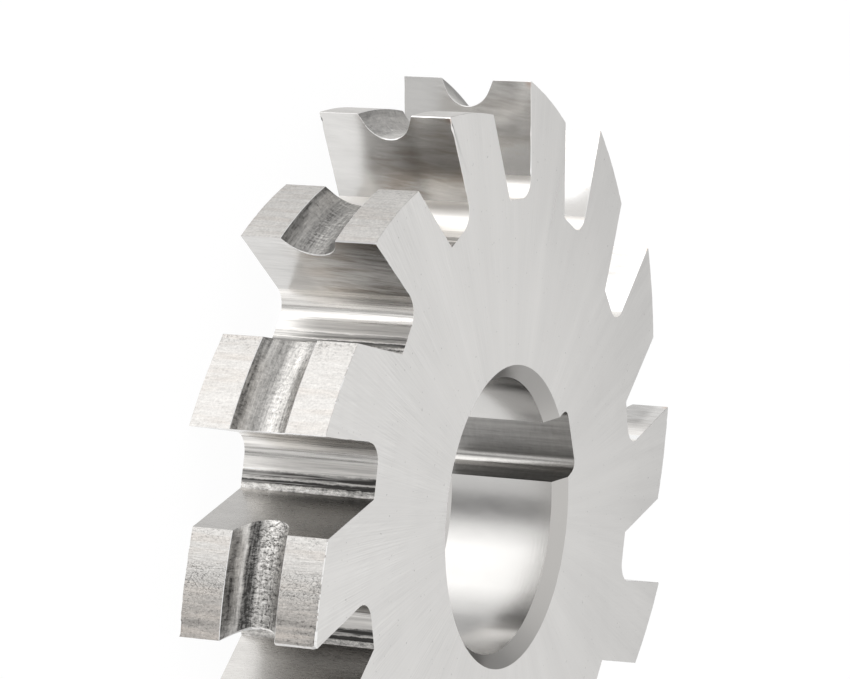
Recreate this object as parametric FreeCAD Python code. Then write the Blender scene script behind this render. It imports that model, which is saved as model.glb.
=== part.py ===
import FreeCAD, Part

import math
import os

# A concave milling cutter, made from one blank of tool steel. It lies on a side face, with its
# axis on +Z and the keyway towards +X. Seen from above it cuts anticlockwise.

# Blank and arbor hole, in millimetres
cutter_diameter = 50.0         # over the cutting edges
cutter_width = 8.0             # between the ground side faces
bore_diameter = 16.0
bore_chamfer = 0.75            # 45 degree break at both mouths of the bore
keyway_width = 4.0
keyway_depth = 1.7             # from the crown of the bore out to the keyway floor
keyway_corner_radius = 0.6

# Teeth, in millimetres and degrees
tooth_count = 14
keyway_lead_share = 0.5        # share of a pitch from the keyway on to the first cutting edge
land_share = 0.52              # share of a pitch that a land takes up
relief_angle = 15.0            # fall of a land behind its cutting edge
rake_angle = 7.4               # lean of a cutting face behind the radius through its edge
gullet_depth = 6.74            # from the tip circle to the corner at the foot of a tooth back
gullet_share = 0.256           # share of a pitch from a cutting edge ahead to that corner
gullet_floor_tilt = 4.5        # climb of the gullet floor from that corner towards the face
gullet_fillet_radius = 1.15    # between gullet floor and cutting face

# Half-round form of the cutting edges, in millimetres and degrees
groove_radius = 1.5
groove_depth = 1.45            # below the land
groove_flank_angle = 24.0      # lean of the straight flanks that open the half round outwards
groove_middle_height = 4.0     # above the lower side face

tip_radius = cutter_diameter / 2
bore_radius = bore_diameter / 2
pitch_angle = 360.0 / tooth_count
land_angle = land_share * pitch_angle
gullet_angle = gullet_share * pitch_angle
mouth_angle = pitch_angle - land_angle
node_name = "milling_cutter"


def polar(radius, degrees, height=0.0):
    """Point at a radius and an angle about the cutter's axis."""
    turn = math.radians(degrees)
    return FreeCAD.Vector(radius * math.cos(turn), radius * math.sin(turn), height)


def relieved_radius(degrees_behind):
    """Radius of a land, which falls evenly with the angle behind its cutting edge."""
    fall = tip_radius * math.tan(math.radians(relief_angle))
    return tip_radius - fall * math.radians(degrees_behind)


def land_arc(tip_angle):
    """Arc of a land from its heel to its cutting edge."""
    heel = polar(relieved_radius(land_angle), tip_angle - land_angle)
    middle = polar(relieved_radius(land_angle / 2), tip_angle - land_angle / 2)
    return Part.Arc(heel, middle, polar(tip_radius, tip_angle))


def meeting_point(start, direction, other_start, other_direction):
    """Point where two lines in the plane of the side face cross."""
    offset = other_start - start
    across = direction.x * other_direction.y - direction.y * other_direction.x
    reach = (offset.x * other_direction.y - offset.y * other_direction.x) / across
    return start + direction * reach


def fillet_points(before, corner, after, radius):
    """Start, middle and end of the arc that rounds a corner."""
    inward = (before - corner).normalize()
    onward = (after - corner).normalize()
    half_turn = inward.getAngle(onward) / 2
    tangent_length = radius / math.tan(half_turn)
    bisector = (inward + onward).normalize()
    middle = corner + bisector * (radius / math.sin(half_turn) - radius)
    return corner + inward * tangent_length, middle, corner + onward * tangent_length


def gullet_edges(tip_angle):
    """Cutting face, fillet, gullet floor and the back of the next tooth, in that order."""
    tip = polar(tip_radius, tip_angle)
    back_foot = polar(tip_radius - gullet_depth, tip_angle + gullet_angle)
    next_heel = polar(relieved_radius(land_angle), tip_angle + mouth_angle)
    down_face = polar(1, tip_angle + 180 + rake_angle)
    along_floor = polar(1, tip_angle - 90 + gullet_floor_tilt)
    face_foot = meeting_point(tip, down_face, back_foot, along_floor)
    start, middle, end = fillet_points(tip, face_foot, back_foot, gullet_fillet_radius)
    return [
        Part.LineSegment(tip, start).toShape(),
        Part.Arc(start, middle, end).toShape(),
        Part.LineSegment(end, back_foot).toShape(),
        Part.LineSegment(back_foot, next_heel).toShape(),
    ]


def tooth_angles():
    """Angle of each cutting edge."""
    first = keyway_lead_share * pitch_angle
    return [first + number * pitch_angle for number in range(tooth_count)]


def toothed_blank():
    """Disc with its gullets and relieved lands."""
    edges = []
    for tip_angle in tooth_angles():
        edges += gullet_edges(tip_angle)
        edges.append(land_arc(tip_angle + pitch_angle).toShape())
    outline = Part.Wire(edges)
    return Part.Face(outline).extrude(FreeCAD.Vector(0, 0, cutter_width))


def groove_section(land_radius):
    """Cross section of the tool that cuts a groove, standing at +X of the land's own centre.

    The half round turns tangent into straight flanks, which run on past the land by the
    groove's depth.
    """
    flank = math.radians(groove_flank_angle)
    arc_centre = land_radius - groove_depth + groove_radius
    arc_end = arc_centre - groove_radius * math.sin(flank)
    arc_half_height = groove_radius * math.cos(flank)
    outer = land_radius + groove_depth
    outer_half_height = arc_half_height + (outer - arc_end) * math.tan(flank)
    middle = groove_middle_height
    outer_low = FreeCAD.Vector(outer, 0, middle - outer_half_height)
    low = FreeCAD.Vector(arc_end, 0, middle - arc_half_height)
    floor = FreeCAD.Vector(land_radius - groove_depth, 0, middle)
    high = FreeCAD.Vector(arc_end, 0, middle + arc_half_height)
    outer_high = FreeCAD.Vector(outer, 0, middle + outer_half_height)
    outline = Part.Wire([
        Part.LineSegment(outer_low, low).toShape(),
        Part.Arc(low, floor, high).toShape(),
        Part.LineSegment(high, outer_high).toShape(),
        Part.LineSegment(outer_high, outer_low).toShape(),
    ])
    return Part.Face(outline)


def relieved_groove(tip_angle):
    """Ring segment that cuts a land's groove, turned round the land's own centre.

    It runs past the land by half a gullet mouth at each end.
    """
    land = land_arc(tip_angle).toShape().Curve
    to_edge = polar(tip_radius, tip_angle) - land.Center
    edge_angle = math.degrees(math.atan2(to_edge.y, to_edge.x))
    axis = FreeCAD.Vector(0, 0, 1)
    section = groove_section(land.Radius)
    section.rotate(FreeCAD.Vector(0, 0, 0), axis, edge_angle + mouth_angle / 2)
    section.translate(land.Center)
    return section.revolve(land.Center, axis, -(land_angle + mouth_angle))


def bore_tool():
    """Bore with a chamfer at both mouths."""
    wide = bore_radius + bore_chamfer
    lower = Part.makeCone(wide, bore_radius, bore_chamfer)
    upper = Part.makeCone(
        bore_radius, wide, bore_chamfer, FreeCAD.Vector(0, 0, cutter_width - bore_chamfer)
    )
    return Part.makeCylinder(bore_radius, cutter_width).fuse([lower, upper])


def keyway_tool():
    """Slot from the axis out to the keyway floor, with rounded floor corners."""
    reach = bore_radius + keyway_depth
    half = keyway_width / 2
    inner_low = FreeCAD.Vector(0, -half, 0)
    low = FreeCAD.Vector(reach, -half, 0)
    high = FreeCAD.Vector(reach, half, 0)
    inner_high = FreeCAD.Vector(0, half, 0)
    low_start, low_middle, low_end = fillet_points(inner_low, low, high, keyway_corner_radius)
    high_start, high_middle, high_end = fillet_points(low, high, inner_high, keyway_corner_radius)
    outline = Part.Wire([
        Part.LineSegment(inner_low, low_start).toShape(),
        Part.Arc(low_start, low_middle, low_end).toShape(),
        Part.LineSegment(low_end, high_start).toShape(),
        Part.Arc(high_start, high_middle, high_end).toShape(),
        Part.LineSegment(high_end, inner_high).toShape(),
        Part.LineSegment(inner_high, inner_low).toShape(),
    ])
    return Part.Face(outline).extrude(FreeCAD.Vector(0, 0, cutter_width))


def milling_cutter():
    """The finished cutter as one solid."""
    grooves = [relieved_groove(tip_angle) for tip_angle in tooth_angles()]
    cutter = toothed_blank().cut(grooves)
    cutter = cutter.cut([bore_tool(), keyway_tool()])
    return cutter.removeSplitter()


cutter = milling_cutter()
print(node_name, "solids", len(cutter.Solids), "volume", round(cutter.Volume, 3), cutter.BoundBox)
os.makedirs("parts", exist_ok=True)
cutter.exportStep(os.path.join("parts", node_name + ".step"))
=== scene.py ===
import math

import bpy
import numpy as np
from bpy.props import FloatProperty, FloatVectorProperty, IntProperty, PointerProperty
from bpy.types import Operator, Panel, PropertyGroup
from mathutils import Color, Matrix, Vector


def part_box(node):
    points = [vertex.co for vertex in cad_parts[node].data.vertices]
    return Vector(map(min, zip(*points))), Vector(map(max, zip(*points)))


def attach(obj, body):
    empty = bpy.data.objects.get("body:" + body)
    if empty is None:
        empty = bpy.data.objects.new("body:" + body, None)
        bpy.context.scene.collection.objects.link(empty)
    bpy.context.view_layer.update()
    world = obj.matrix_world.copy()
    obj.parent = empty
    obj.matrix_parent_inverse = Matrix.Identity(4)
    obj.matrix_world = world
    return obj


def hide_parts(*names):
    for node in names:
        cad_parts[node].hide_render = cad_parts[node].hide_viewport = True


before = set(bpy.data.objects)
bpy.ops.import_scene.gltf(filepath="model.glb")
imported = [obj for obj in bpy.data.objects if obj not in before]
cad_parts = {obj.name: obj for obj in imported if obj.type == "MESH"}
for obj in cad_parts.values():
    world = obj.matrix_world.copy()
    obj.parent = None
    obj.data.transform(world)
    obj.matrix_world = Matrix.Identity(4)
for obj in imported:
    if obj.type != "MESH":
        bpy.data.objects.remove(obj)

bl_info = {
    "name": "Concave milling cutter",
    "version": (1, 0, 0),
    "blender": (4, 5, 0),
    "location": "3D View > Sidebar > Cutter",
    "description": "Builds a concave milling cutter of ground tool steel around its solid",
    "category": "Object",
}

MM = 0.001
NODE = "milling_cutter"
PIECE = "relieved_cutter"
SOLID_LOW, SOLID_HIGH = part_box(NODE)
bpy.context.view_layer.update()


# Sizes and colours that a user would change

def a_length(name, description, metres):
    return FloatProperty(
        name=name, description=description, default=metres, unit="LENGTH", precision=6)


def an_angle(name, description, degrees):
    return FloatProperty(
        name=name, description=description, default=math.radians(degrees), subtype="ANGLE")


def a_share(name, description, default):
    return FloatProperty(name=name, description=description, default=default, subtype="FACTOR")


def a_colour(name, description, default):
    return FloatVectorProperty(
        name=name, description=description, default=default, subtype="COLOR")


class CutterForm(PropertyGroup):
    """Main sizes of the cutter. They repeat the solid's."""
    diameter: a_length("Diameter", "Across the cutting edges", SOLID_HIGH.y - SOLID_LOW.y)
    width: a_length("Width", "Between the ground side faces", SOLID_HIGH.z - SOLID_LOW.z)
    teeth: IntProperty(name="Teeth", description="Number of teeth", default=14, min=3)
    land_share: a_share("Land share", "Share of a pitch that a land takes up", 0.52)
    relief: an_angle("Relief", "Fall of a land behind its cutting edge", 15.0)
    rake: an_angle("Rake", "Lean of a cutting face behind the radius", 7.4)
    gullet_depth: a_length(
        "Gullet depth", "From the tip circle to the foot of a tooth back", 6.74 * MM)
    gullet_share: a_share(
        "Gullet share", "Share of a pitch from an edge to the gullet's corner", 0.256)
    floor_tilt: an_angle("Gullet floor tilt", "Climb of the gullet floor towards the face", 4.5)
    fillet: a_length("Gullet fillet", "Radius between gullet floor and cutting face", 1.15 * MM)
    groove_radius: a_length("Groove radius", "Radius of the half-round form", 1.5 * MM)
    groove_depth: a_length(
        "Groove depth", "Depth of the half-round form below the land", 1.45 * MM)
    groove_flank: an_angle(
        "Groove flank", "Lean of the straight flanks above the half round", 24.0)


class BoreForm(PropertyGroup):
    """Sizes of the bore and its keyway. They repeat the solid's."""
    diameter: a_length("Bore", "Diameter of the bore", 16.0 * MM)
    chamfer: a_length("Chamfer", "45 degree break at both mouths of the bore", 0.75 * MM)
    keyway_width: a_length("Keyway width", "Between the keyway's walls", 4.0 * MM)
    keyway_depth: a_length(
        "Keyway depth", "From the crown of the bore to the keyway's floor", 1.7 * MM)
    keyway_corner: a_length("Keyway corner", "Radius in the keyway's floor corners", 0.6 * MM)


class EdgeWear(PropertyGroup):
    """How far the sharp edges are broken and worn."""
    side_edge: a_length(
        "Side edge", "Mean break where the teeth meet the side faces", 0.016 * MM)
    gullet_edge: a_length(
        "Gullet edge", "Mean break where the gullets meet the side faces", 0.010 * MM)
    cutting_edge: a_length(
        "Cutting edge", "Dulling of the cutting edges in their near half", 0.06 * MM)
    heel_edge: a_length("Heel edge", "Break behind the lands", 0.012 * MM)
    blunt_corner: a_length(
        "Blunt corner", "Dulling of the bluntest tooth at the upper side face", 0.12 * MM)
    groove_edge: a_length(
        "Groove edge", "Break where the half round meets the land", 0.025 * MM)
    chip: a_length("Chips", "Largest chip along a side edge", 0.06 * MM)
    nick: a_length("Nicks", "Largest nick beside the chipped tooth's edge", 0.14 * MM)
    seed: IntProperty(name="Seed", description="Seed of the random wear", default=14)


class SteelFinish(PropertyGroup):
    """Colours and roughness of the tool steel."""
    ground: a_colour("Ground steel", "Colour of the ground side faces", (0.66, 0.65, 0.635))
    relieved: a_colour(
        "Relieved steel", "Colour of the lands and grooves", (0.60, 0.585, 0.565))
    milled: a_colour(
        "Milled steel", "Colour of the gullets and tooth backs", (0.60, 0.585, 0.565))
    tinted: a_colour(
        "Tinted steel", "Faint straw tint left by grinding heat", (0.60, 0.53, 0.47))
    heated: a_colour(
        "Heated corner", "Brown tint at the corners of the cutting edges", (0.50, 0.33, 0.24))
    # the worn edges' colour is near white: polished by wear, and lighter than steel as a painted
    # highlight
    polished_and_highlight: a_colour("Worn edge", "Colour of the worn, polished edges", (0.96, 0.95, 0.94))
    ground_roughness: a_share("Ground roughness", "Roughness of the side faces", 0.33)
    relieved_roughness: a_share("Relieved roughness", "Roughness of the lands", 0.40)
    face_roughness: a_share(
        "Face roughness", "Roughness of cutting faces and tooth backs", 0.26)
    bore_roughness: a_share("Bore roughness", "Roughness of the bore", 0.20)


class StageSetting(PropertyGroup):
    """Floor and camera."""
    floor: a_colour("Floor", "Colour of the floor", (0.9, 0.9, 0.9))
    shadow_share: a_share(
        "Shadow share", "How strongly the floor shows the cutter's shadow", 0.08)
    lens: FloatProperty(
        name="Lens", description="Focal length of the camera in millimetres", default=165.44,
        unit="CAMERA")
    camera_place: FloatVectorProperty(
        name="Camera place", description="Where the camera stands", subtype="TRANSLATION",
        unit="LENGTH", default=(-0.176518, 0.106333, 0.096616))


# Node trees: numbers as expressions, and any other node through one method

class Flow:
    """A number running between nodes. Sums and products on it add Math nodes."""

    def __init__(self, board, socket):
        self.board = board
        self.socket = socket

    def math(self, operation, *others):
        return self.board.math(operation, self, *others)

    def __add__(self, other):
        return self.math("ADD", other)

    __radd__ = __add__

    def __sub__(self, other):
        return self.math("SUBTRACT", other)

    def __rsub__(self, other):
        return self.board.math("SUBTRACT", other, self)

    def __mul__(self, other):
        return self.math("MULTIPLY", other)

    __rmul__ = __mul__

    def __truediv__(self, other):
        return self.math("DIVIDE", other)

    def __rtruediv__(self, other):
        return self.board.math("DIVIDE", other, self)

    def step(self, low, high):
        """0 before low and 1 past high, smooth between them. It falls where low is the larger."""
        node = self.board.add(
            "MapRange", {"interpolation_type": "SMOOTHSTEP"},
            {"Value": self, "From Min": low, "From Max": high})
        return Flow(self.board, node.outputs["Result"])


class Board:
    """One node tree."""

    def __init__(self, owner):
        owner.use_nodes = True
        self.tree = owner.node_tree
        self.tree.nodes.clear()

    def add(self, kind, settings=None, inputs=None):
        """A ShaderNode of this kind: its settings first, then its sockets' values or links."""
        node = self.tree.nodes.new("ShaderNode" + kind)
        for name, value in (settings or {}).items():
            if name == "stops":
                self.set_stops(node.color_ramp, value)
            else:
                setattr(node, name, value)
        for name, value in (inputs or {}).items():
            socket = node.inputs[name]
            if isinstance(value, Flow):
                value = value.socket
            if isinstance(value, bpy.types.NodeSocket):
                self.tree.links.new(value, socket)
            else:
                socket.default_value = (*value, 1.0) if isinstance(value, Color) else value
        return node

    @staticmethod
    def set_stops(ramp, stops):
        """Stops of a grey ramp, as pairs of place and level."""
        while len(ramp.elements) < len(stops):
            ramp.elements.new(1.0)
        for element, (place, level) in zip(ramp.elements, stops):
            element.position = place
            element.color = (level, level, level, 1.0)

    def math(self, operation, *values):
        node = self.add("Math", {"operation": operation}, dict(enumerate(values)))
        return Flow(self, node.outputs[0])

    def combine(self, x, y, z):
        """Vector of three numbers."""
        return self.add("CombineXYZ", None, {0: x, 1: y, 2: z}).outputs[0]

    def separate(self, vector):
        node = self.add("SeparateXYZ", None, {0: vector})
        return [Flow(self, node.outputs[axis]) for axis in range(3)]

    def place(self):
        """The surface point's coordinates on the object, in millimetres."""
        point = self.add("TexCoord").outputs["Object"]
        scaled = self.add(
            "VectorMath", {"operation": "SCALE"}, {0: point, "Scale": 1 / MM})
        return self.separate(scaled.outputs[0])

    def noise(self, x, y, z, detail=2.0, roughness=0.5, distortion=0.0):
        """Noise at a point, with a mean of one half."""
        node = self.add(
            "TexNoise", {"noise_dimensions": "3D"},
            {"Vector": self.combine(x, y, z), "Scale": 1.0, "Detail": detail,
             "Roughness": roughness, "Distortion": distortion})
        return Flow(self, node.outputs["Fac"])

    def blend(self, factor, first, second):
        """Colour between two colours."""
        node = self.add(
            "Mix", {"data_type": "RGBA"}, {0: factor, 6: first, 7: second})
        return node.outputs[2]

    def shade(self, colour, strength):
        """Colour times a number."""
        node = self.add(
            "Mix", {"data_type": "RGBA", "blend_type": "MULTIPLY"},
            {0: 1.0, 6: colour, 7: self.combine(strength, strength, strength)})
        return node.outputs[2]

    def steel(self, colour, tone, roughness, height, depth):
        """The finish's shader: colour times tone, if there is one, over a relief.

        The relief is height times depth, in millimetres.
        """
        if tone is not None:
            colour = self.shade(colour, tone)
        relief = self.add(
            "Bump", None, {"Strength": 1.0, "Distance": depth * MM, "Height": height})
        shader = self.add(
            "BsdfPrincipled", None,
            {"Base Color": colour, "Metallic": 1.0, "Roughness": roughness,
             "Normal": relief.outputs[0]})
        self.add("OutputMaterial", None, {"Surface": shader.outputs[0]})


def polar_place(board):
    """Direction from the axis, distance from it and height, from object coordinates."""
    x, y, z = board.place()
    reach = (x * x + y * y).math("SQRT")
    return x / reach, y / reach, reach, z


def fanned(board, along_x, along_y, reach, curl, count, stretch, detail):
    """Noise drawn out along the radius and swept by curl radians for each millimetre of it."""
    turn = reach * curl
    cosine, sine = turn.math("COSINE"), turn.math("SINE")
    swept_x = along_x * cosine - along_y * sine
    swept_y = along_x * sine + along_y * cosine
    return board.noise(swept_x * count, swept_y * count, reach * stretch, detail)


# Finishes

# Here x, y and z are in millimetres on the object, with z over the lower side face, and steps in
# x and y tell the teeth apart. The tone multiplies the colour, and 1 leaves it as it is.

STAINED_TOOTH = 5.0  # pitch_place's number of the tooth with the darkest land and groove


def swing(noise, gain):
    """Noise turned to a deviation about zero."""
    return (noise - 0.5) * gain


def noise_at(board, x, y, z):
    """Noise at a point, by how often it varies for each unit across the axis and along it."""
    def noise(across, along, *character):
        return board.noise(x * across, y * across, z * along, *character)

    return noise


def ridge(noise, width):
    """1 along the thin winding lines where noise passes its mean, and 0 away from them."""
    return (noise - 0.5).math("ABSOLUTE").step(width, 0.0)


def pitch_place(board):
    """Number of the pitch, and how far a point is ahead of a cutting edge, in pitches.

    The angle about the axis is turned to pitches, and counted from the first cutting edge.
    """
    teeth = bpy.context.scene.cutter_form.teeth
    x, y, _ = board.place()
    turns = y.math("ARCTAN2", x) * (teeth / math.tau) + (teeth - 0.5)
    return turns.math("FLOOR").math("MODULO", float(teeth)), turns.math("FRACT")


def is_stained(tooth):
    """1 on the stained tooth and 0 on the others."""
    return (tooth - STAINED_TOOTH).math("ABSOLUTE").step(0.7, 0.3)


def side_face_finish(board, finish):
    """Rotary ground: fine lines fan out from the bore, bolder towards -X, with others askew."""
    along_x, along_y, reach, _ = polar_place(board)
    fine = fanned(board, along_x, along_y, reach, -0.001, 230.0, 0.15, 3.0)
    broad = fanned(board, along_x, along_y, reach, 0.004, 42.0, 0.10, 2.0)
    cross = fanned(board, along_x, along_y, reach, -0.013, 160.0, 0.20, 2.0)
    x, y, _ = board.place()
    cloud = board.noise(x * 0.12, y * 0.12, 1.7, 2.0)
    speck = board.noise(x * 5.0, y * 5.0, 4.3, 1.0).step(0.74, 0.80)
    lines = fine * 0.6 + broad * 0.2 + cross * 0.2
    patchy = board.noise(x * 0.30, y * 0.30, 6.1, 2.0).step(0.35, 0.65)
    bold = (0.35 + x.step(6.0, -14.0) * 0.55) * (0.45 + patchy * 0.85)
    # painted sheen: broad light and dark sectors round the axis stand in for the ground face's
    # streaked reflections
    painted_sector_sheen = board.noise(along_x * 7.0, along_y * 7.0, reach * 0.05, 2.0)
    # painted light and shade: a little lighter from x = -10 mm to 0, darker towards +X past x = 6
    # mm
    painted_light_slope = x.step(-10.0, 0.0) * 0.03 - x.step(6.0, 22.0) * 0.08
    tone = (1.0 + painted_light_slope + swing(lines, 0.5) * bold + swing(cloud, 0.05) + swing(painted_sector_sheen, 0.14)
            - speck * 0.3)
    roughness = finish.ground_roughness + swing(broad, 0.16) + swing(cloud, 0.08)
    height = lines * bold - speck * 0.4
    board.steel(finish.ground, tone, roughness, height, 0.012)


def land_finish(board, finish):
    """Relieved with a form tool: faint bars along the axis, fine speckle and small pits."""
    x, y, z = board.place()
    noise = noise_at(board, x, y, z)
    tooth, ahead = pitch_place(board)
    bars = noise(1.8, 0.15, 3.0, 0.6)
    fine_bars = noise(11.0, 1.3, 2.0)
    speckle = noise(9.0, 7.0, 4.0, 0.8)
    pits = noise(7.0, 5.0, 3.0, 0.75).step(0.52, 0.62)
    patch = noise(0.45, 0.45, 1.0).step(0.44, 0.60)
    heel = ahead.step(0.60, 0.50)
    own = board.noise(tooth * 3.7, 0.5, 0.5, 0.0)
    own_tooth = is_stained(tooth)
    stained = own_tooth * ahead.step(0.66, 0.90)
    torn = 1.0 - x.step(0.0, 12.0) * 0.6
    rings = ridge(noise(5.5, 4.4, 1.0), 0.06)
    ringed = rings * own_tooth * ahead.step(0.62, 0.68) * ahead.step(0.84, 0.76)
    pitted = pits * (patch * 0.15 + stained * 0.35 + heel * 0.35) * torn + ringed * 0.65
    tone = (1.03 + (swing(bars, 0.35) + swing(fine_bars, 0.40) + swing(speckle, 1.1)) * torn
            + swing(own, 0.12) - pitted * 0.75 - stained * (0.14 + swing(bars, 2.3)))
    tint = board.blend(
        (bars.step(0.55, 0.35) * 0.25 * torn + stained * 0.28).math("MINIMUM", 0.9),
        finish.relieved, finish.tinted)
    roughness = finish.relieved_roughness + swing(speckle, 0.3) + swing(bars, 0.15)
    height = fine_bars * 0.5 + speckle * 0.5 - pitted * 0.6
    board.steel(tint, tone, roughness, height, 0.016)


def groove_finish(board, finish):
    """The half round: dark flanks, torn streaks with the cut and fine chatter across it."""
    along_x, along_y, _, z = polar_place(board)
    noise = noise_at(board, along_x, along_y, z)
    x, _, _ = board.place()
    tooth, ahead = pitch_place(board)
    waver = noise(12.0, 0.6, 2.0)
    level = z + swing(waver, 0.30)
    streak = noise(8.0, 6.0, 4.0, 0.7)
    thread = noise(10.0, 15.0, 2.0, 0.6)
    fine = noise(40.0, 12.0, 3.0, 0.7)
    comb = noise(150.0, 0.9, 2.0)
    tears = noise(170.0, 3.2, 3.0, 0.85, 0.7).step(0.52, 0.61)
    scratch = ridge(noise(80.0, 2.0, 1.0), 0.05)
    grain = noise(130.0, 7.0, 3.0, 0.8)
    own = board.noise(tooth * 2.3, 1.5, 0.5, 0.0)
    stained = is_stained(tooth)
    early = tooth.step(3.7, 3.3)  # the first four teeth
    far_flank = (level + early * 0.08).step(2.68, 2.52)
    dark_band = level.step(2.82, 3.00) * level.step(3.60, 3.35)
    pale_band = level.step(2.64, 2.74) * level.step(3.00, 2.88) * stained * ahead.step(0.98, 0.62)
    near_half = (level + early * 0.5).step(3.15, 3.75)
    near_flank = (level + stained * 0.12).step(4.25, 4.50)
    dark = (far_flank * (0.50 - stained * 0.04 - early * 0.12)
            + near_flank * (0.32 - stained * 0.14) + dark_band * (0.16 + stained * 0.52)
            + stained * (0.04 + ahead.step(0.6, 0.9) * 0.08))
    torn = 1.0 - x.step(3.0, 9.0) * 0.85
    marks = (swing(streak, 1.0) * (1.0 - early * 0.5) + swing(thread, 0.7) * (1.0 + near_flank)
             + swing(fine, 0.9) + swing(grain, 1.7) * (0.8 + near_half * 0.4 - early * 0.35)
             + swing(comb, 1.3) * near_half * (0.7 - early * 0.35 + stained * 0.2)
             + comb.step(0.56, 0.70) * near_half * early * 0.30
             + (0.30 - tears) * stained * (0.16 + dark_band * 0.2 + near_half * 0.46)
             - scratch * near_half * (1.0 - early) * (0.16 + stained * 0.04))
    pale = near_half * (1.0 - early) * (0.22 - stained * 0.12) + pale_band * 0.34
    # painted light and shade: the tone rises towards +X from x = -6 to 5 mm, and on the first
    # four teeth it falls towards -X from x = -3 to -6 mm
    tone = (0.95 - dark - early * 0.15 * x.step(-3.0, -6.0) + pale + swing(own, 0.2)
            + x.step(-6.0, 5.0) * 0.43 + marks * torn).math("MAXIMUM", 0.10)
    roughness = finish.relieved_roughness - 0.06 + swing(grain, 0.4)
    height = (streak * (0.6 - early * 0.3) + thread * 0.3 + fine * 0.4
              + comb * near_half * 0.5 + grain * 0.5 - tears * stained * near_half * 0.6) * torn
    board.steel(finish.relieved, tone, roughness, height, 0.040)


def cutting_face_finish(board, finish):
    """Ground across the width: long streaks along the axis with a faint straw tint, and painted
    light and shade by place.
    """
    x, y, z = board.place()
    noise = noise_at(board, x, y, z)
    tooth, _ = pitch_place(board)
    streak = board.noise(x * 2.2, y * 2.2, z * 0.13 + tooth * 3.3, 4.0, 0.6)
    fine = noise(11.0, 0.22, 2.0)
    cloud = noise(0.5, 0.3, 2.0)
    near = z.step(1.5, 4.0)
    reach = (x * x + y * y).math("SQRT")
    wisp = board.noise(reach * 4.2 + z * 0.7, tooth * 3.3, z * 0.55, 4.0, 0.7)
    wisps = swing(wisp, 1.2) * (1.0 - x.step(-8.0, 0.0) * 0.35) * (0.2 + near * 0.8)
    crown = x.step(-5.0, -2.0) * x.step(6.0, 3.0)  # teeth beside the Y axis
    soft = 1.0 - x.step(-8.0, 4.0) * 0.9
    faint = 1.0 - x.step(-8.0, 4.0) * 0.5
    late = x.step(2.0, 8.0)  # teeth towards +X
    # painted shade: darker down by the gullet in the upper part of the face, except on the teeth
    # towards +X and those beside the Y axis
    low = reach.step(22.0, 20.4) * z.step(2.0, 4.5) * (1.0 - late) * (1.0 - crown)
    # painted light and shade: on the teeth beside the Y axis lighter by the upper side face and
    # darker between z = 2.8 and 5 mm and by the gullet; on the teeth towards +X lighter by the
    # gullet and darker near the tip at z = 5.5 to 6.8 mm
    painted_light_levels = (crown * (z.step(5.2, 6.4) * 0.26 - z.step(2.0, 2.8) * z.step(6.0, 5.0) * 0.26
                         - reach.step(21.4, 19.6) * 0.14)
                + late * (reach.step(22.2, 19.8) * 0.60
                          - reach.step(21.4, 22.4) * z.step(4.0, 5.5) * z.step(7.6, 6.8) * 0.26))
    shaded = (z.step(3.0, 8.5) * (0.12 + x.step(-3.0, -7.0) * 0.26 - late * 0.14)
              - x.step(-6.0, -8.0) * z.step(4.8, 3.6) * z.step(2.2, 2.8) * 0.14)
    # painted light and shade: lighter towards +X, lighter again past x = 12 mm but darker there
    # where y < 0, darker on the teeth towards +X and by the lower side face from x = -6 mm on
    tone = (1.02 + x.step(-10.0, 12.0) * 0.30
            + x.step(12.0, 16.0) * (0.16 - y.step(0.0, -4.0) * 0.40)
            - low * 0.18 - late * 0.06 - shaded
            - (1.0 - near) * x.step(-6.0, 0.0) * 0.07 + swing(cloud, 0.25) + painted_light_levels + wisps
            + (swing(streak, 0.25) + swing(streak, 0.50) * near + swing(fine, 0.12)) * faint)
    ground = board.blend(
        (cloud * 0.4 + streak * 0.3 + wisp * 0.3).step(0.53, 0.42) * near
        * (0.6 - x.step(2.0, 10.0) * 0.45),
        finish.ground, finish.tinted)
    tint = board.blend(
        reach.step(24.4, 24.9) * z.step(7.5, 7.9) * 0.45, ground, finish.heated)
    roughness = finish.face_roughness - 0.05 + swing(streak, 0.1)
    height = (streak * (0.25 + near * 0.35) + fine * 0.15) * soft
    board.steel(tint, tone, roughness, height, 0.006)


def tooth_back_finish(board, finish):
    """Milled flat: short fine lines along the axis, with painted shade down by the gullet's
    corner and painted light by place.
    """
    _, _, reach, z = polar_place(board)
    x, y, _ = board.place()
    noise = noise_at(board, x, y, z)
    brushed = noise(11.0, 2.2, 3.0, 0.7)
    broad = noise(1.6, 0.2, 2.0)
    # painted shade: darker down by the gullet's corner, towards the upper side face
    painted_corner_shade = reach.step(20.6, 18.2) * z.step(1.0, 5.0)
    # painted light: lighter by the foot except on the teeth towards -X, where the painted shade
    # is left out; the tone adds painted light on the backs past x = 13 mm and painted shade
    # towards the upper side face
    pale = x.step(-9.5, -5.5) * reach.step(19.1, 18.4)
    tone = (0.88 + pale * 0.55 + x.step(9.0, 13.0) * 0.65
            + swing(brushed, 0.36) + swing(broad, 0.2)
            - (painted_corner_shade * 0.39 + z.step(1.5, 4.5) * 0.22) * (1.0 - pale))
    roughness = finish.face_roughness + 0.02 + swing(brushed, 0.16)
    height = brushed * 0.7 + broad * 0.6
    board.steel(finish.milled, tone, roughness, height, 0.009)


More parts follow.
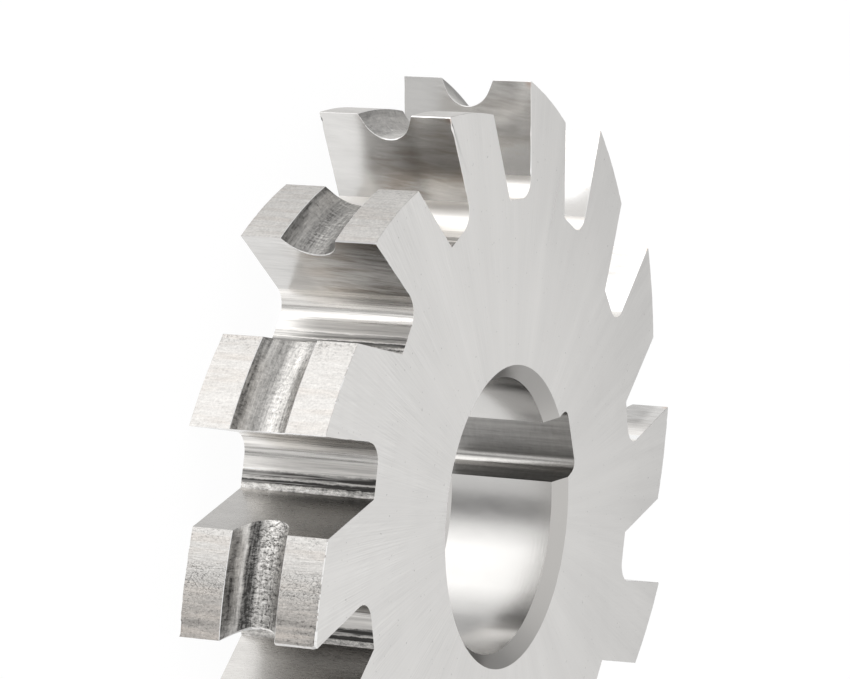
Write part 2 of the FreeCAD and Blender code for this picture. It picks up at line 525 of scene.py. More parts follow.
def gullet_fillet_finish(board, finish):
    """Milled round: even stripes along the axis, under a painted highlight that grows towards +X.
    """
    x, y, z = board.place()
    noise = noise_at(board, x, y, z)
    stripe = noise(5.0, 0.10, 4.0, 0.7)
    broad = noise(2.0, 0.08, 1.0)
    torn = noise(8.0, 1.4, 2.0)
    soft = 1.0 - x.step(-8.0, 2.0) * 0.85
    # painted highlight: the tone starts at 1.2 and rises by 0.5 towards +X from x = -14 to -2 mm,
    # up to 1.65
    tone = (1.20 + x.step(-14.0, -2.0) * 0.50 + (swing(stripe, 3.0) + swing(torn, 0.2)) * soft
            ).math("MAXIMUM", 0.2).math("MINIMUM", 1.65)
    roughness = finish.face_roughness + 0.18 - soft * 0.16 + swing(stripe, 0.2)
    height = (stripe * 0.9 + broad * 0.6 + torn * 0.15) * soft
    board.steel(finish.milled, tone, roughness, height, 0.018)


def gullet_floor_finish(board, finish):
    """The gullet's floor: bright stripes, two dark tears and a rough pale strip by the corner."""
    x, y, z = board.place()
    noise = noise_at(board, x, y, z)
    tooth, ahead = pitch_place(board)
    waver = board.noise(z * 0.25, tooth * 2.9, 0.3, 2.0)
    jag = noise(3.0, 1.6, 4.0, 0.75)
    place = ahead + swing(waver, 0.020) + swing(jag, 0.026)
    stripe = noise(4.5, 0.12, 4.0, 0.7)
    torn = noise(4.5, 2.6, 4.0, 0.85)
    thread = board.noise(x * 14.0, y * 14.0, z * 0.25 + tooth, 2.0, 0.6)
    depth = (0.78 + z.step(1.0, 6.5) * 0.24) * (1.0 - tooth.step(4.7, 4.3) * 0.44)
    lower_tear = (place - 0.198).math("ABSOLUTE").step(0.020, 0.008)
    upper_tear = (place - 0.150).math("ABSOLUTE").step(0.032, 0.010)
    strip = place.step(0.207, 0.216)
    # painted light and shade: a little lighter towards +X from x = -9 to -4 mm, and darker
    # towards the upper side face
    tone = (1.42 + x.step(-9.0, -4.0) * 0.2
            + swing(stripe, 1.9) * (0.7 + ahead.step(0.06, 0.16)) + swing(torn, 0.1)
            + strip * (swing(torn, 3.6) - 0.28) - z.step(0.5, 3.0) * 0.15 - z.step(3.0, 8.0) * 0.1
            - (lower_tear * 1.1 + upper_tear * 0.9) * depth * (1.30 + swing(thread, 3.2))
            + swing(thread, 0.4)).math("MAXIMUM", 0.10)
    roughness = finish.relieved_roughness + 0.04 + swing(stripe, 0.2) + strip * 0.05
    height = stripe * 0.5 + strip * torn * 1.1 - (lower_tear + upper_tear) * 0.5
    board.steel(finish.milled, tone, roughness, height, 0.024)


def bore_finish(board, finish):
    """Ground bore: nearly smooth, with faint lines round it and soft clouds, painted shade
    towards +Y and -Y and under the upper mouth, and a painted reflection on the -Y side.
    """
    along_x, along_y, _, z = polar_place(board)
    noise = noise_at(board, along_x, along_y, z)
    rings = noise(5.0, 9.0, 3.0)
    cloud = noise(9.0, 0.7, 2.0)
    # painted shade: darker in the upper part on the +Y side; painted reflection: a lighter strip
    # on the -Y side in the upper part
    upper = z.step(3.6, 6.2) * along_y.step(0.33, 0.60)
    painted_reflection = (along_x.step(-0.15, 0.05) * along_y.step(-0.97, -0.995)
                * z.step(4.2, 6.0))
    # painted shade: darker towards +Y and towards -Y
    tone = (0.96 + swing(cloud, 0.12) - along_y.step(0.68, 0.94) * 0.15 - upper * 0.28
            - along_y.step(-0.88, -0.97) * 0.24 + painted_reflection * 0.32)
    roughness = finish.bore_roughness + swing(cloud, 0.10)
    board.steel(finish.ground, tone, roughness, rings * 0.3 + cloud, 0.0035)


def chamfer_finish(board, finish):
    """Turned chamfer: fine rings, with painted light that makes it lighter towards +Y."""
    along_x, along_y, reach, z = polar_place(board)
    rings = board.noise(along_x * 2.0, along_y * 2.0, (reach - z) * 7.0, 2.0)
    roughness = finish.bore_roughness + 0.12 + swing(rings, 0.1)
    # painted light: lighter towards +Y
    tone = 0.87 + along_y.step(-1.0, 1.0) * 0.14 + swing(rings, 0.15)
    board.steel(finish.milled, tone, roughness, rings, 0.002)


def keyway_finish(board, finish):
    """Broached: dark bands along the axis, crossed by fine chatter, with a painted highlight in a
    floor corner and painted shade on the wall beside it.
    """
    x, y, z = board.place()
    bands = board.noise(x * 1.5, y * 2.4, z * 0.10, 3.0, 0.6)
    chatter = board.noise(x * 1.0, y * 1.0, z * 4.0, 3.0, 0.7)
    torn = board.noise(x * 4.0, y * 6.0, z * 2.0, 3.0, 0.7)
    # painted highlight: the floor's corner on the -Y side is lighter, and glossier too; the tone
    # also paints shade on the wall at y = -2 mm
    corner = x.step(8.9, 9.2) * y.step(-1.3, -1.6)
    tone = (0.52 + swing(bands, 0.7) + swing(chatter, 0.15) + swing(torn, 0.15)
            + corner * 0.40 - y.step(-1.85, -1.98) * 0.18).math("MAXIMUM", 0.1)
    roughness = finish.relieved_roughness - 0.06 - corner * 0.14 + swing(bands, 0.2)
    height = bands * 0.8 + chatter * 0.2 + torn * 0.2
    board.steel(finish.milled, tone, roughness, height, 0.016)


def worn_edge_and_highlight_finish(board, finish):
    """Edges worn and polished, near white as a painted highlight, with small dull chips."""
    x, y, z = board.place()
    chips = board.noise(x * 6.0, y * 6.0, z * 6.0, 2.0).step(0.56, 0.72)
    colour = board.blend(chips * 0.7, finish.polished_and_highlight, finish.milled)
    board.steel(colour, None, 0.34 + chips * 0.1, chips, 0.004)


FINISHES = {
    "ground_side_face": side_face_finish,
    "relieved_land": land_finish,
    "relieved_groove": groove_finish,
    "ground_cutting_face": cutting_face_finish,
    "milled_tooth_back": tooth_back_finish,
    "milled_gullet_fillet": gullet_fillet_finish,
    "torn_gullet_floor": gullet_floor_finish,
    "ground_bore": bore_finish,
    "turned_chamfer": chamfer_finish,
    "broached_keyway": keyway_finish,
    "worn_edge": worn_edge_and_highlight_finish,
}
FINISH_INDEX = {name: index for index, name in enumerate(FINISHES)}


def steel_materials(finish):
    """One material for each finish, in the order of FINISHES."""
    made = []
    for name, build in FINISHES.items():
        material = bpy.data.materials.new(name)
        build(Board(material), finish)
        made.append(material)
    return made


# The cutter's surface

BACK_STEPS, LAND_STEPS, FACE_STEPS, FILLET_STEPS, FLOOR_STEPS = 12, 40, 22, 10, 4
COLUMN_FINISH = (
    ["milled_tooth_back"] * (BACK_STEPS + 1) + ["relieved_land"] * LAND_STEPS
    + ["worn_edge"] + ["ground_cutting_face"] * FACE_STEPS
    + ["milled_gullet_fillet"] * FILLET_STEPS + ["torn_gullet_floor"] * FLOOR_STEPS
)
LAND_PLACES = np.array([0.0, 0.35, 0.65, 0.84, 0.92, 0.965, 1.0])  # shares of a land's width
FLANK_ROWS, ARC_ROWS = 2, 14
SIDE_ROWS, WEB_ROWS = 5, 5
CHAMFER_PLACES = np.array([0.0, 0.5, 1.0])  # shares of the chamfer's depth
BORE_PLACES = np.array([0.25, 0.5, 0.75])  # shares of the way between the chamfers
ROOT_RADIUS = 17.0 * MM  # circle that parts the side faces' teeth from their web
ROOT_KNOTS = [  # where the columns of heel, edge and fillet meet it, ahead of the edge
    math.radians(-15.5), math.radians(-8.0), math.radians(-4.2)]
KEYWAY_SPREAD = math.radians(40.0)  # columns further from the keyway keep their angles
SHARP_ANGLE = math.radians(20.0)
SLACK = 1e-9
MITRE_LIMIT = 0.5  # least divisor where an outline folds back

BLUNT_TOOTH, CHIPPED_TOOTH = 6, 3  # counted anticlockwise from the keyway
BLUNTNESS = 3.0  # dulling of the blunt tooth, in those of the others
BLUNT_SIDE = 1.2  # break added along its land, in mean ones
BLUNT_COLUMNS = 6  # columns behind its cutting edge that are broken most
NEAR_START, NEAR_RISE = -1.7, 1.2  # height over the middle where it starts, and its run, in mm
RAGGEDNESS = 0.3  # largest share that chance adds to the dulling
CORNER_HEIGHT, CORNER_SHARE = 0.10 * MM, 0.3  # dulling that the upper corners add
NICK_SHARES = (0.9, 0.15, 0.7, 0.5, 0.1)
BREAK_LEAST, BREAK_SPREAD = 0.6, 0.8  # in mean breaks
BREAK_SPACING, CHIP_SPACING, CHIP_RUN = 2, 3, 23  # columns between a random line's knots
CHIP_GAIN = 3.2  # steepness of the chips' line, which is cut off but for its top
BREAK_SHARE = 0.6  # largest break, as a share of the way to a tooth's corner
RUBBED_AND_HIGHLIT_BREAK = 2.2  # breaks wider than this many mean ones are worn bright, with a painted highlight


def around(angle):
    """Unit vector at an angle: its cosine and its sine."""
    return np.stack([np.cos(angle), np.sin(angle)], axis=-1)


def crossing(start, direction, other_start, other_direction):
    """Point where two lines in the plane cross."""
    offset = other_start - start
    across = direction[0] * other_direction[1] - direction[1] * other_direction[0]
    reach = (offset[0] * other_direction[1] - offset[1] * other_direction[0]) / across
    return start + direction * reach


def ring_reach(offset, direction, radius):
    """Distance along a line to a circle, for a start given by its offset from the centre.

    It is the smaller root of the quadratic that the line and the circle make.
    """
    lean = offset @ direction
    return -lean - np.sqrt(lean ** 2 - offset @ offset + radius ** 2)


def run(start, end, steps):
    """Points from start towards end, without the end: start plus a growing share of the way.

    Start and end are one point for all rows, or one for each row.
    """
    share = (np.arange(steps) / steps)[:, None]
    start, end = np.broadcast_arrays(np.atleast_2d(start), np.atleast_2d(end))
    return start[:, None, :] + (end - start)[:, None, :] * share


def unit(vector):
    """The vector over its length."""
    return vector / np.linalg.norm(vector)


class Tooth:
    """One tooth in its own plane, with its cutting edge on +X and the next tooth towards +Y."""

    def __init__(self, form, wear):
        self.wear = wear
        tip_radius = form.diameter / 2
        pitch = math.tau / form.teeth
        land = form.land_share * pitch
        gullet = form.gullet_share * pitch

        def relieved(behind):
            """Point of the land. Its radius falls evenly with the angle behind the edge."""
            radius = tip_radius - tip_radius * math.tan(form.relief) * behind
            return radius * around(-behind)

        self.tip = relieved(0.0)
        self.heel = relieved(land)
        self.centre, self.radius = circle_through(self.heel, relieved(land / 2), self.tip)
        self.down_face = around(math.pi + form.rake)
        foot_radius = tip_radius - form.gullet_depth
        self.next_foot = foot_radius * around(gullet)
        self.foot = foot_radius * around(gullet - pitch)
        self.down_back = unit(self.foot - self.heel)
        along_floor = around(form.floor_tilt - math.pi / 2)
        corner = crossing(self.tip, self.down_face, self.next_foot, along_floor)
        up, onward = unit(self.tip - corner), unit(self.next_foot - corner)
        half = math.acos(up @ onward) / 2
        self.fillet_start = corner + up * form.fillet / math.tan(half)
        self.fillet_end = corner + onward * form.fillet / math.tan(half)
        self.fillet_centre = corner + unit(up + onward) * form.fillet / math.sin(half)
        self.fillet = form.fillet

    def outline(self, depths, dull):
        """Outline of the tooth at each depth below the land, as rows of points.

        The back and the cutting face are straight lines, cut off by the land's circle, whose
        radius shrinks by the depth. Fillet and floor are the same at every depth. The cutting
        edge is dulled by a width for each row, the heel by the same small one.
        """
        radius = self.radius - depths
        worn = dull[:, None] * self.down_face
        broken = self.wear.heel_edge * self.down_back
        heel = self.heel + np.outer(
            ring_reach(self.heel - self.centre, self.down_back, radius), self.down_back)
        tip = self.tip + np.outer(
            ring_reach(self.tip - self.centre, self.down_face, radius), self.down_face)
        first = self.angle(heel) + self.wear.heel_edge / radius
        last = self.angle(tip) - dull / radius
        share = np.arange(LAND_STEPS + 1) / LAND_STEPS
        turn = first[:, None] + (last - first)[:, None] * share
        land = self.centre + radius[:, None, None] * around(turn)
        rows = len(depths)
        parts = [
            run(self.foot, heel + broken, BACK_STEPS),
            (heel + broken)[:, None, :],
            land,
            run(tip + worn, self.fillet_start, FACE_STEPS),
            self.fillet_points(),
            run(self.fillet_end, self.next_foot, FLOOR_STEPS),
        ]
        return np.concatenate(
            [np.broadcast_to(part, (rows, *part.shape[1:])) for part in parts], axis=1)

    def corner_distance(self, outline):
        """Distance of each point of an outline from the nearer of cutting edge and heel."""
        from_tip = np.linalg.norm(outline - self.tip, axis=-1)
        return np.minimum(from_tip, np.linalg.norm(outline - self.heel, axis=-1))

    def angle(self, points):
        """Angle of each point about the land's centre."""
        offset = points - self.centre
        return np.arctan2(offset[..., 1], offset[..., 0])

    def fillet_points(self):
        """Arc from the cutting face to the gullet floor, the short way round its centre."""
        start = self.fillet_start - self.fillet_centre
        end = self.fillet_end - self.fillet_centre
        first, last = math.atan2(start[1], start[0]), math.atan2(end[1], end[0])
        sweep = (last - first + math.pi) % math.tau - math.pi
        turn = first + sweep * np.arange(FILLET_STEPS) / FILLET_STEPS
        return (self.fillet_centre + self.fillet * around(turn))[None]


def circle_through(first, second, third):
    """Centre and radius of the circle through three points.

    The centre is where the normals through the middles of two chords cross.
    """
    def chord_normal(start, end):
        return (start + end) / 2, np.array([start[1] - end[1], end[0] - start[0]])

    centre = crossing(*chord_normal(first, second), *chord_normal(second, third))
    return centre, np.linalg.norm(first - centre)


def groove_rows(form, wear):
    """Height above the middle, depth below the land and finish of each row across a tooth.

    The half round is an arc whose ends run tangent into straight flanks.
    """
    arc_end = math.pi / 2 - form.groove_flank
    rise = form.groove_radius - form.groove_depth
    turn = np.linspace(0.0, arc_end, ARC_ROWS // 2 + 1)
    arc_height = form.groove_radius * np.sin(turn)
    arc_depth = form.groove_radius * np.cos(turn) - rise
    lean = math.tan(form.groove_flank)
    mouth = arc_height[-1] + arc_depth[-1] * lean
    flank_depth = np.linspace(arc_depth[-1], wear.groove_edge, FLANK_ROWS + 1)[1:]
    flank_height = mouth - flank_depth * lean
    start, end = mouth + wear.groove_edge, form.width / 2
    land_height = start + (end - start) * LAND_PLACES
    half = np.concatenate([arc_height, flank_height, land_height])
    depth = np.concatenate([arc_depth, flank_depth, np.zeros(len(LAND_PLACES))])
    cut = ["relieved_groove"] * (ARC_ROWS // 2 + FLANK_ROWS)
    finish = cut + ["worn_edge"] + ["relieved_land"] * (len(LAND_PLACES) - 1)
    heights = np.concatenate([-half[:0:-1], half])
    depths = np.concatenate([depth[:0:-1], depth])
    return heights, depths, finish[::-1] + finish


def ragged(count, spacing, draw):
    """Closed line of random numbers from 0 to 1, one drawn for each spacing and joined."""
    knots = draw.random(count // spacing)
    knots = np.append(knots, knots[0])
    return np.interp(np.arange(count), np.linspace(0, count, len(knots)), knots)


def dull_widths(wear, heights, draw, blunt):
    """Width of the dulled cutting edge in each row: small in the far half, ragged in the near.

    By the upper side face a bell curve adds the corner's share, which is larger on a blunt
    tooth.
    """
    near = np.clip((heights / MM - NEAR_START) / NEAR_RISE, 0.0, 1.0)
    ragged_part = 1.0 + RAGGEDNESS * draw.random(len(heights))
    edge = wear.cutting_edge * (BLUNTNESS if blunt else 1.0)
    width = wear.heel_edge + (edge - wear.heel_edge) * near * ragged_part
    corner = np.exp(-(((heights[-1] - heights) / CORNER_HEIGHT) ** 2))
    return width + (wear.blunt_corner if blunt else CORNER_SHARE * wear.cutting_edge) * corner


def edge_break(form, wear, draw):
    """Width of the break along one side face's outline, for each column of the surface.

    It is the mean width times a random line. Chips are added where a second line nears its
    top, nicks ahead of the chipped tooth's edge, and a wider break on the blunt tooth.
    """
    count = form.teeth * len(COLUMN_FINISH)
    kinds = np.array(COLUMN_FINISH * form.teeth)
    toothed = np.isin(kinds, ["relieved_land", "ground_cutting_face", "worn_edge"])
    mean = np.where(toothed, wear.side_edge, wear.gullet_edge)
    fine = ragged(count, BREAK_SPACING, draw)
    peaks = ragged(count, CHIP_SPACING, draw) * CHIP_GAIN - (CHIP_GAIN - 1.0)
    chips = np.clip(peaks, 0, 1) * ragged(count, CHIP_RUN, draw)
    width = mean * (BREAK_LEAST + BREAK_SPREAD * fine) + wear.chip * chips * toothed
    tips = BACK_STEPS + 1 + LAND_STEPS + len(COLUMN_FINISH) * np.arange(form.teeth)
    nicks = tips[CHIPPED_TOOTH] + 1 + np.arange(len(NICK_SHARES))
    width[nicks] += wear.nick * np.array(NICK_SHARES)
    width[tips[BLUNT_TOOTH] - np.arange(LAND_STEPS)] += BLUNT_SIDE * wear.side_edge
    width[tips[BLUNT_TOOTH] - np.arange(BLUNT_COLUMNS)] += wear.blunt_corner
    return width


def inset(outline, width):
    """Closed outline moved inwards by a width, square to the mean of its two sides."""
    after = np.roll(outline, -1, axis=0) - outline
    after /= np.linalg.norm(after, axis=1)[:, None]
    before = np.roll(after, 1, axis=0)
    inward = np.stack([-(before + after)[:, 1], (before + after)[:, 0]], axis=1)
    lean = 1 + (before * after).sum(axis=1)
    return outline + inward * (width / np.maximum(lean, MITRE_LIMIT))[:, None]


def root_angles(form):
    """Angle of each column on the circle under the gullets, spread so that no column crosses."""
    stations = np.array([0, BACK_STEPS, LAND_STEPS + 2, FACE_STEPS, FILLET_STEPS + FLOOR_STEPS])
    pitch = math.tau / form.teeth
    foot = form.gullet_share * pitch
    knots = [foot - pitch, *ROOT_KNOTS, foot]
    columns = len(COLUMN_FINISH)
    local = np.interp(np.arange(columns), np.cumsum(stations), knots)
    tips = pitch / 2 + np.arange(form.teeth) * pitch
    return (tips[:, None] + local).ravel()


def bore_outline(bore, angles, radius):
    """Outline of the bore with its keyway for a bore of this radius, and the columns within it.

    The columns nearest the keyway's corners are first turned onto them. A column's reach is
    then the bore's radius, or where its ray meets the keyway's wall, rounded corner or floor.
    """
    half, corner = bore.keyway_width / 2, bore.keyway_corner
    floor = bore.diameter / 2 + bore.keyway_depth
    mouth = math.asin(half / radius)
    wall_end = math.atan2(half, floor - corner)
    floor_end = math.atan2(half - corner, floor)
    resting = math.asin(half / (bore.diameter / 2))
    turn = (angles + math.pi) % math.tau - math.pi
    marks = np.array([floor_end, wall_end, resting])
    columns = []
    for mark in np.concatenate([-marks[::-1], marks]):
        columns.append(turn[np.argmin(np.abs(turn - mark))])
    targets = [-mouth, -wall_end, -floor_end, floor_end, wall_end, mouth]
    turn = np.interp(
        turn, [-math.pi, -KEYWAY_SPREAD, *columns, KEYWAY_SPREAD, math.pi],
        [-math.pi, -KEYWAY_SPREAD, *targets, KEYWAY_SPREAD, math.pi])
    size = np.abs(turn)
    middle = np.array([floor - corner, half - corner])
    aside = size - math.atan2(middle[1], middle[0])
    distance = np.linalg.norm(middle)
    round_reach = distance * np.cos(aside) + np.sqrt(
        np.maximum(corner ** 2 - (distance * np.sin(aside)) ** 2, 0))
    reach = np.where(size < floor_end + SLACK, floor / np.cos(turn), round_reach)
    wall_reach = half / np.sin(np.maximum(size, floor_end))
    reach = np.where(size > wall_end - SLACK, wall_reach, reach)
    reach = np.where(size > mouth - SLACK, radius, reach)
    return reach[:, None] * around(turn), size < mouth - SLACK


def at_height(outline, height):
    """Outline in the plane made a row of points in space."""
    heights = np.broadcast_to(height, len(outline))
    return np.column_stack([outline, heights])


def cutter_surface(form, bore, wear):
    """Rows of points of the whole cutter and the finish of each cell.

    One closed grid covers it. A row runs once round the axis. The rows climb the toothed rim,
    cross the upper side face, go down the bore and cross the lower side face to the start.
    """
    draw = np.random.default_rng(wear.seed)
    middle = form.width / 2
    heights, depths, rim_finish = groove_rows(form, wear)
    tooth = Tooth(form, wear)
    pitch = math.tau / form.teeth
    teeth, reserve = [], []
    for number in range(form.teeth):
        dull = dull_widths(wear, heights, draw, number == BLUNT_TOOTH)
        local = tooth.outline(depths, dull)
        turn = pitch * (number + 0.5)
        out, on = around(turn), around(turn + math.pi / 2)
        teeth.append(local[..., :1] * out + local[..., 1:] * on)
        reserve.append(tooth.corner_distance(local))
    rim = np.concatenate(teeth, axis=1)
    reserve = BREAK_SHARE * np.concatenate(reserve, axis=1)
    columns = rim.shape[1]
    lower_break = np.minimum(edge_break(form, wear, draw), reserve[0])
    upper_break = np.minimum(edge_break(form, wear, draw), reserve[-1])
    rim_rows = [at_height(outline, middle + height) for outline, height in zip(rim, heights)]
    rim_rows[0][:, 2] = lower_break
    rim_rows[-1][:, 2] = form.width - upper_break
    lower_edge = at_height(inset(rim[0], lower_break), 0.0)
    upper_edge = at_height(inset(rim[-1], upper_break), form.width)
    angles = root_angles(form)
    root = ROOT_RADIUS * around(angles)
    narrow, wide = bore.diameter / 2, bore.diameter / 2 + bore.chamfer
    fall = np.concatenate([
        CHAMFER_PLACES * bore.chamfer,
        bore.chamfer + (form.width - 2 * bore.chamfer) * BORE_PLACES,
        form.width - bore.chamfer + CHAMFER_PLACES * bore.chamfer,
    ])
    radii = np.maximum(narrow, wide - np.minimum(fall, form.width - fall))
    bore_rows = []
    for drop, radius in zip(fall, radii):
        outline, in_keyway = bore_outline(bore, angles, radius)
        bore_rows.append(at_height(outline, form.width - drop))

    def across(start, end, steps):
        """Rows from start, left out, to end: start plus a growing share of the way."""
        share = np.arange(1, steps + 1) / steps
        return [start + (end - start) * part for part in share]

    upper_root, lower_root = at_height(root, form.width), at_height(root, 0.0)
    upper = across(upper_edge, upper_root, SIDE_ROWS) + across(
        upper_root, bore_rows[0], WEB_ROWS)[:-1]
    lower = across(bore_rows[-1], lower_root, WEB_ROWS) + across(
        lower_root, lower_edge, SIDE_ROWS)[:-1]
    rows = [lower_edge] + rim_rows + [upper_edge] + upper + bore_rows + lower
    rim_kinds = np.array(COLUMN_FINISH * form.teeth, dtype=object)

    def break_kinds(width):
        """Finishes of a break's cells. Wide ones on a land are worn bright, with a painted
        highlight.
        """
        rubbed_and_highlit = (rim_kinds == "relieved_land") & (width > RUBBED_AND_HIGHLIT_BREAK * wear.side_edge)
        return np.where(rubbed_and_highlit, "worn_edge", rim_kinds)

    cells = [break_kinds(lower_break)]
    for kind in rim_finish:
        cells.append(np.where(rim_kinds == "relieved_land", kind, rim_kinds))
    cells.append(break_kinds(upper_break))
    side = np.full(columns, "ground_side_face", dtype=object)
    cells += [side] * (SIDE_ROWS + WEB_ROWS)
    in_keyway = in_keyway | np.roll(in_keyway, -1)
    turned = ["turned_chamfer"] * (len(CHAMFER_PLACES) - 1)
    for kind in turned + ["ground_bore"] * (len(BORE_PLACES) + 1) + turned:
        cells.append(np.where(in_keyway, "broached_keyway", kind).astype(object))
    cells += [side] * (SIDE_ROWS + WEB_ROWS)
    return np.stack(rows), np.stack(cells)


def closed_grid(name, rows, cells, materials):
    """Mesh of a grid that closes on itself both ways, with a finish for each cell.

    A cell joins a point to the next in its row and to the same two in the next row.
    """
    across, along = rows.shape[:2]
    number = np.arange(across * along).reshape(across, along)
    beside, above = np.roll(number, -1, axis=1), np.roll(number, -1, axis=0)
    corners = np.stack([number, beside, np.roll(above, -1, axis=1), above], axis=-1)
    mesh = bpy.data.meshes.new(name)
    mesh.vertices.add(number.size)
    mesh.vertices.foreach_set("co", rows.astype(np.float32).ravel())
    mesh.loops.add(corners.size)
    mesh.loops.foreach_set("vertex_index", corners.ravel().astype(np.int32))
    mesh.polygons.add(number.size)
    mesh.polygons.foreach_set("loop_start", np.arange(0, corners.size, 4, dtype=np.int32))
    for material in materials:
        mesh.materials.append(material)
    index = np.vectorize(FINISH_INDEX.get)(cells).astype(np.int32)
    mesh.polygons.foreach_set("material_index", index.ravel())
    mesh.update(calc_edges=True)
    mesh.validate()
    mesh.shade_smooth()
    mesh.set_sharp_from_angle(angle=SHARP_ANGLE)
    return mesh


def add_object(name, data):
    """New object with this data in the scene."""
    added = bpy.data.objects.new(name, data)
    bpy.context.scene.collection.objects.link(added)
    return added


class CUTTER_OT_build(Operator):
    """Build the cutter's ground, relieved and worn surface in place of the plain solid"""
    bl_idname = "cutter.build"
    bl_label = "Build the cutter"

    def execute(self, context):
        scene = context.scene
        rows, cells = cutter_surface(scene.cutter_form, scene.cutter_bore, scene.cutter_wear)
        if not np.isfinite(rows).all():
            raise RuntimeError("the sizes of the cutter don't make a surface")
        materials = steel_materials(scene.cutter_finish)
        mesh = closed_grid(PIECE, rows, cells, materials)
        piece = add_object(PIECE, mesh)
        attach(piece, "root")
        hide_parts(NODE)
        return {"FINISHED"}


# Floor, surround, lamp and camera

WHITE = (1.0, 1.0, 1.0, 1.0)
FLOOR_RADIUS, FLOOR_DROP = 3.0, 0.00002
FLOOR_RINGS, FLOOR_SPOKES, FLOOR_HUB = 12, 64, 0.02
FLOOR_LEVEL = 1.03  # strength at which the floor reads white beside its shadow
LAMP_SIZE, LAMP_POWER, LAMP_HEIGHT = 1.6, 1.0, 1.2
SENSOR_WIDTH = 36.0  # in millimetres, as the lens
NEAREST, FURTHEST = 0.01, 20.0  # what the camera sees
CAMERA_RIGHT = (0.39958, -0.13724, 0.90636)
CAMERA_UP = (0.44814, 0.89178, -0.06253)
CAMERA_BACK = (-0.79970, 0.43116, 0.41784)

RING = [  # level of the surround below the horizon, by azimuth in degrees
    (-180, 0.86), (-168, 0.88), (-155, 0.80), (-146, 0.92), (-137, 1.08), (-100, 1.0),
    (-60, 0.97), (-20, 0.98), (8, 0.92), (20, 0.92), (29, 0.86), (36, 0.80), (44, 0.80),
    (51, 0.93), (60, 1.35), (72, 1.6), (95, 1.65), (108, 1.7), (122, 1.75), (131, 1.4),
    (140, 1.1), (147, 0.56), (154, 0.34), (163, 0.38), (170, 0.78), (180, 0.86),
]
HORIZON = [  # the same at and a little above the horizon
    (-180, 0.8), (-125, 0.75), (-105, 0.55), (-62, 0.55), (-42, 0.52), (-20, 0.38), (6, 0.36),
    (16, 0.55), (32, 0.60), (50, 0.8), (180, 0.8),
]
RING_TOP = 2.0  # level at the top of both ramps
RING_END, HORIZON_START = -12.0, -2.0  # heights in degrees between which one turns to the other
TOP_LEVEL, TOP_START, TOP_END = 0.84, 30.0, 48.0  # overhead, from and to these heights
PANEL_LEVEL, PANEL_PLACE = 1.38, (-31.0, 44.0)  # round panel, and its azimuth and height
PANEL_CORE, PANEL_EDGE = math.radians(18.0), math.radians(22.0)


def surround(scene):
    """Soft studio surround. The camera sees plain white, and the steel sees its panels."""
    world = bpy.data.worlds.new("studio_surround")
    scene.world = world
    board = Board(world)
    direction = board.add("TexCoord").outputs["Generated"]
    x, y, z = board.separate(direction)
    azimuth = y.math("ARCTAN2", x) / math.tau + 0.5
    height = z.math("ARCSINE") * math.degrees(1.0)

    def ramp(levels):
        """Level by azimuth. A stop has the share of the turn and of the ramps' top."""
        stops = [((degrees + 180) / 360, level / RING_TOP) for degrees, level in levels]
        node = board.add("ValToRGB", {"stops": stops}, {0: azimuth})
        return board.separate(node.outputs[0])[0] * RING_TOP

    def towards(azimuth_degrees, height_degrees):
        """Cosine of the angle from this direction."""
        turn, rise = math.radians(azimuth_degrees), math.radians(height_degrees)
        flat = math.cos(rise)
        return x * (math.cos(turn) * flat) + y * (math.sin(turn) * flat) + z * math.sin(rise)

    low = ramp(RING)
    middle = ramp(HORIZON)
    raised = height.step(RING_END, HORIZON_START)
    level = low + (middle - low) * raised
    level = level + (TOP_LEVEL - level) * height.step(TOP_START, TOP_END)
    panel = towards(*PANEL_PLACE).step(math.cos(PANEL_EDGE), math.cos(PANEL_CORE))
    level = level + (PANEL_LEVEL - level) * panel
    seen = board.add("LightPath").outputs["Is Camera Ray"]
    level = level + (1.0 - level) * Flow(board, seen)
    background = board.add("Background", None, {"Color": WHITE, "Strength": level})
    board.add("OutputWorld", None, {"Surface": background.outputs[0]})


def floor_material(stage):
    """Pale floor that reads white to the camera and still takes the cutter's shadow."""
    material = bpy.data.materials.new("pale_floor")
    board = Board(material)
    matt = board.add("BsdfDiffuse", None, {"Color": stage.floor})
    white = board.add("Emission", None, {"Color": WHITE, "Strength": FLOOR_LEVEL})
    seen = Flow(board, board.add("LightPath").outputs["Is Camera Ray"])
    mixed = board.add(
        "MixShader", None,
        {0: seen * (1.0 - stage.shadow_share), 1: matt.outputs[0], 2: white.outputs[0]})
    board.add("OutputMaterial", None, {"Surface": mixed.outputs[0]})
    return material


def floor_disc():
    """Flat round sheet: each point is a share of the radius at an even angle."""
    share = np.linspace(FLOOR_HUB, 1.0, FLOOR_RINGS)
    turn = np.arange(FLOOR_SPOKES) * math.tau / FLOOR_SPOKES
    points = (share[:, None, None] * around(turn)[None] * FLOOR_RADIUS).reshape(-1, 2)
    number = np.arange(FLOOR_RINGS * FLOOR_SPOKES).reshape(FLOOR_RINGS, FLOOR_SPOKES)
    beside = np.roll(number, -1, axis=1)
    faces = np.stack([number[:-1], number[1:], beside[1:], beside[:-1]], -1).reshape(-1, 4)
    mesh = bpy.data.meshes.new("floor")
    places = at_height(points, -FLOOR_DROP).tolist()
    mesh.from_pydata(places, [], [*faces.tolist(), number[0].tolist()])
    return mesh


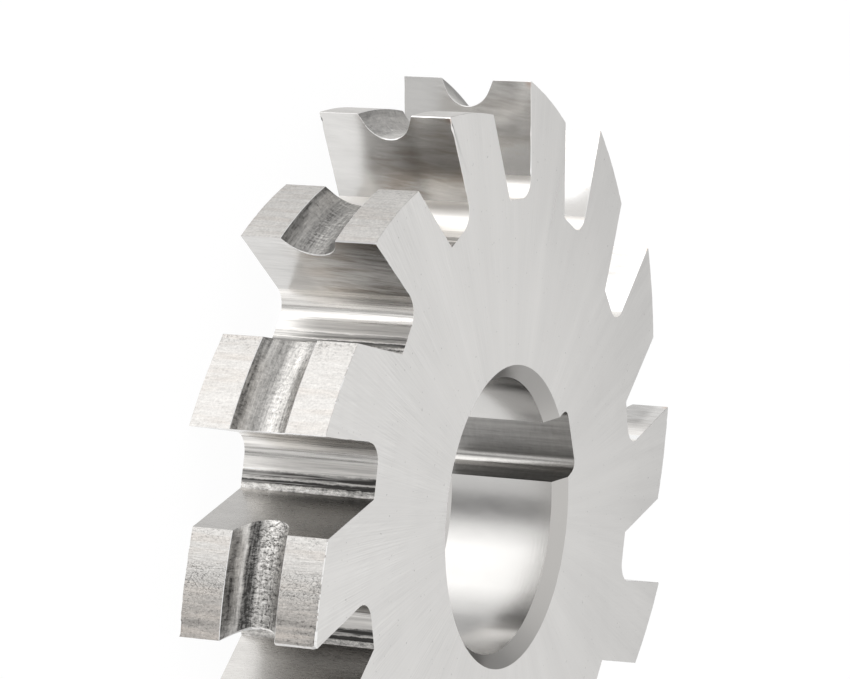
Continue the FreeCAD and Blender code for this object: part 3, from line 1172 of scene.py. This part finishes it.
class CUTTER_OT_stage(Operator):
    """Set the floor, the surround, the lamp and the camera"""
    bl_idname = "cutter.stage"
    bl_label = "Set the stage"

    def execute(self, context):
        scene = context.scene
        stage = scene.cutter_stage
        floor = add_object("floor", floor_disc())
        floor.data.materials.append(floor_material(stage))
        floor.visible_glossy = False
        floor.visible_shadow = False
        surround(scene)
        lamp = bpy.data.lights.new("overhead_softbox", "AREA")
        lamp.shape = "SQUARE"
        lamp.size = LAMP_SIZE
        lamp.energy = LAMP_POWER
        softbox = add_object("overhead_softbox", lamp)
        softbox.location = (0.0, 0.0, LAMP_HEIGHT)
        lens = bpy.data.cameras.new("camera")
        lens.lens = stage.lens
        lens.sensor_width = SENSOR_WIDTH
        lens.clip_start, lens.clip_end = NEAREST, FURTHEST
        camera = add_object("camera", lens)
        facing = Matrix((CAMERA_RIGHT, CAMERA_UP, CAMERA_BACK)).transposed().to_4x4()
        camera.matrix_world = Matrix.Translation(stage.camera_place) @ facing
        scene.camera = camera
        scene.view_settings.view_transform = "Standard"
        return {"FINISHED"}


class CUTTER_PT_panel(Panel):
    """The cutter's sizes, finishes and stage"""
    bl_idname = "CUTTER_PT_panel"
    bl_label = "Milling cutter"
    bl_space_type = "VIEW_3D"
    bl_region_type = "UI"
    bl_category = "Cutter"

    def draw(self, context):
        for title, name, _ in GROUPS:
            box = self.layout.box()
            box.label(text=title)
            group = getattr(context.scene, name)
            for key in group.__annotations__:
                box.prop(group, key)
        self.layout.operator("cutter.build")
        self.layout.operator("cutter.stage")


GROUPS = [
    ("Teeth", "cutter_form", CutterForm), ("Bore", "cutter_bore", BoreForm),
    ("Wear", "cutter_wear", EdgeWear), ("Finish", "cutter_finish", SteelFinish),
    ("Stage", "cutter_stage", StageSetting),
]
CLASSES = [kind for _, _, kind in GROUPS] + [CUTTER_OT_build, CUTTER_OT_stage, CUTTER_PT_panel]


def register():
    for cls in CLASSES:
        bpy.utils.register_class(cls)
    for _, name, kind in GROUPS:
        setattr(bpy.types.Scene, name, PointerProperty(type=kind))


def unregister():
    for _, name, _ in GROUPS:
        delattr(bpy.types.Scene, name)
    for cls in reversed(CLASSES):
        bpy.utils.unregister_class(cls)


def main():
    register()
    bpy.ops.cutter.build()
    bpy.ops.cutter.stage()


if __name__ == "__main__":
    main()
